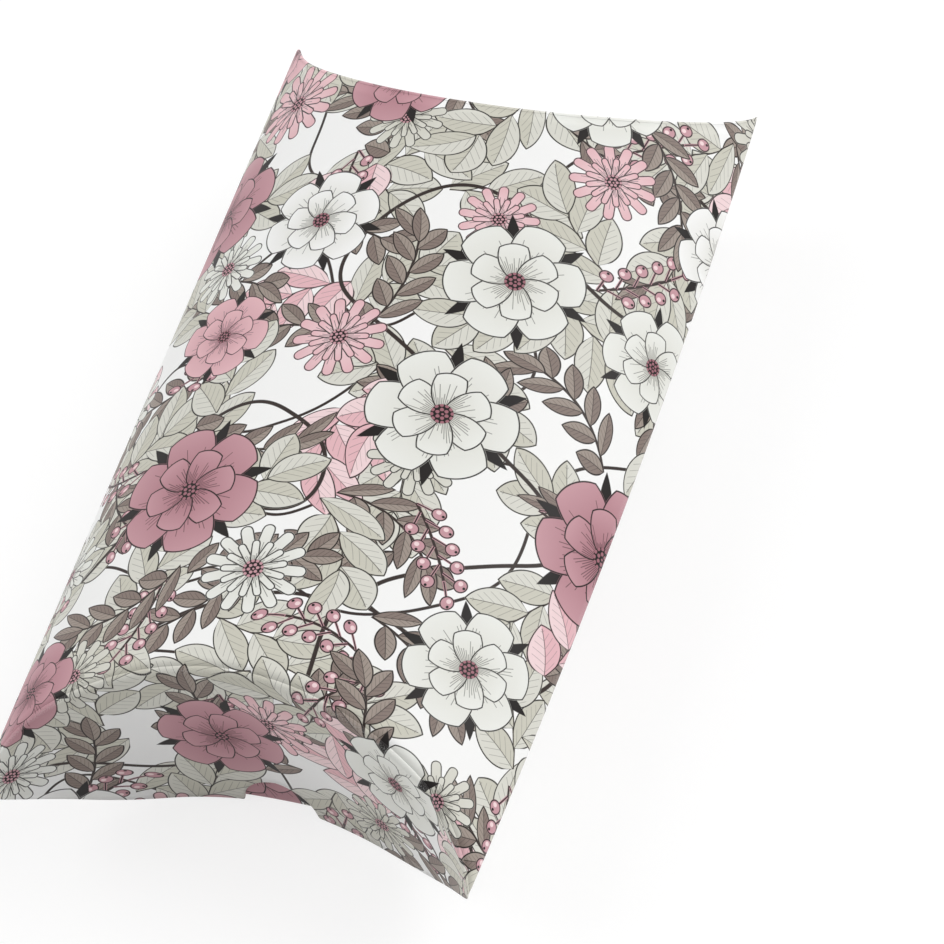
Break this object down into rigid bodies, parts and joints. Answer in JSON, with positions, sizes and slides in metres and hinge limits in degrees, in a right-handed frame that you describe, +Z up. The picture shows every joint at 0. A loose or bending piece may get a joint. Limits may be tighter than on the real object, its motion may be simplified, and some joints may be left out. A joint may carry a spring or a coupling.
{
  "type": "pillow box",
  "caption": "Pillow-shaped gift box of printed board, with bowed panels, curved end creases and overlapping end flaps that fold open by a thumb notch.",
  "frame": {"origin": "point under the middle of the box where the crown of the back panel rests on the ground", "axes": "+X across the width, +Y along the length from the near end to the far end, +Z up from the back panel to the front panel"},
  "size_m": [0.13, 0.2386, 0.06],
  "materials": {
    "printed_board": "matt print",
    "plain_board": "uncoated",
    "glue": "dried glue"
  },
  "bodies": {
    "tube": {"front_panel": "printed_board", "back_panel": "printed_board", "glue_tab": "plain_board", "glue_line": "glue"},
    "near_outer": {"near_outer_flap": "printed_board"},
    "near_inner": {"near_inner_flap": "printed_board"},
    "far_outer": {"far_outer_flap": "printed_board"},
    "far_inner": {"far_inner_flap": "printed_board"}
  },
  "joints": [
    {"name": "near_outer_fold", "type": "hinge", "parent": "tube", "child": "near_outer", "pos_m": [0, -0.09025, 0.05975], "axis": [-1, 0, 0], "range_deg": [0, 90]},
    {"name": "near_inner_fold", "type": "hinge", "parent": "tube", "child": "near_inner", "pos_m": [0, -0.08895, 0.00025], "axis": [1, 0, 0], "range_deg": [0, 40]},
    {"name": "far_outer_fold", "type": "hinge", "parent": "tube", "child": "far_outer", "pos_m": [0, 0.09025, 0.05975], "axis": [1, 0, 0], "range_deg": [0, 90]},
    {"name": "far_inner_fold", "type": "hinge", "parent": "tube", "child": "far_inner", "pos_m": [0, 0.08895, 0.00025], "axis": [-1, 0, 0], "range_deg": [0, 40]}
  ],
  "couplings": [
    {"joint": "near_inner_fold", "follows": "near_outer_fold", "ratio": 0.44444},
    {"joint": "far_inner_fold", "follows": "far_outer_fold", "ratio": 0.44444}
  ]
}
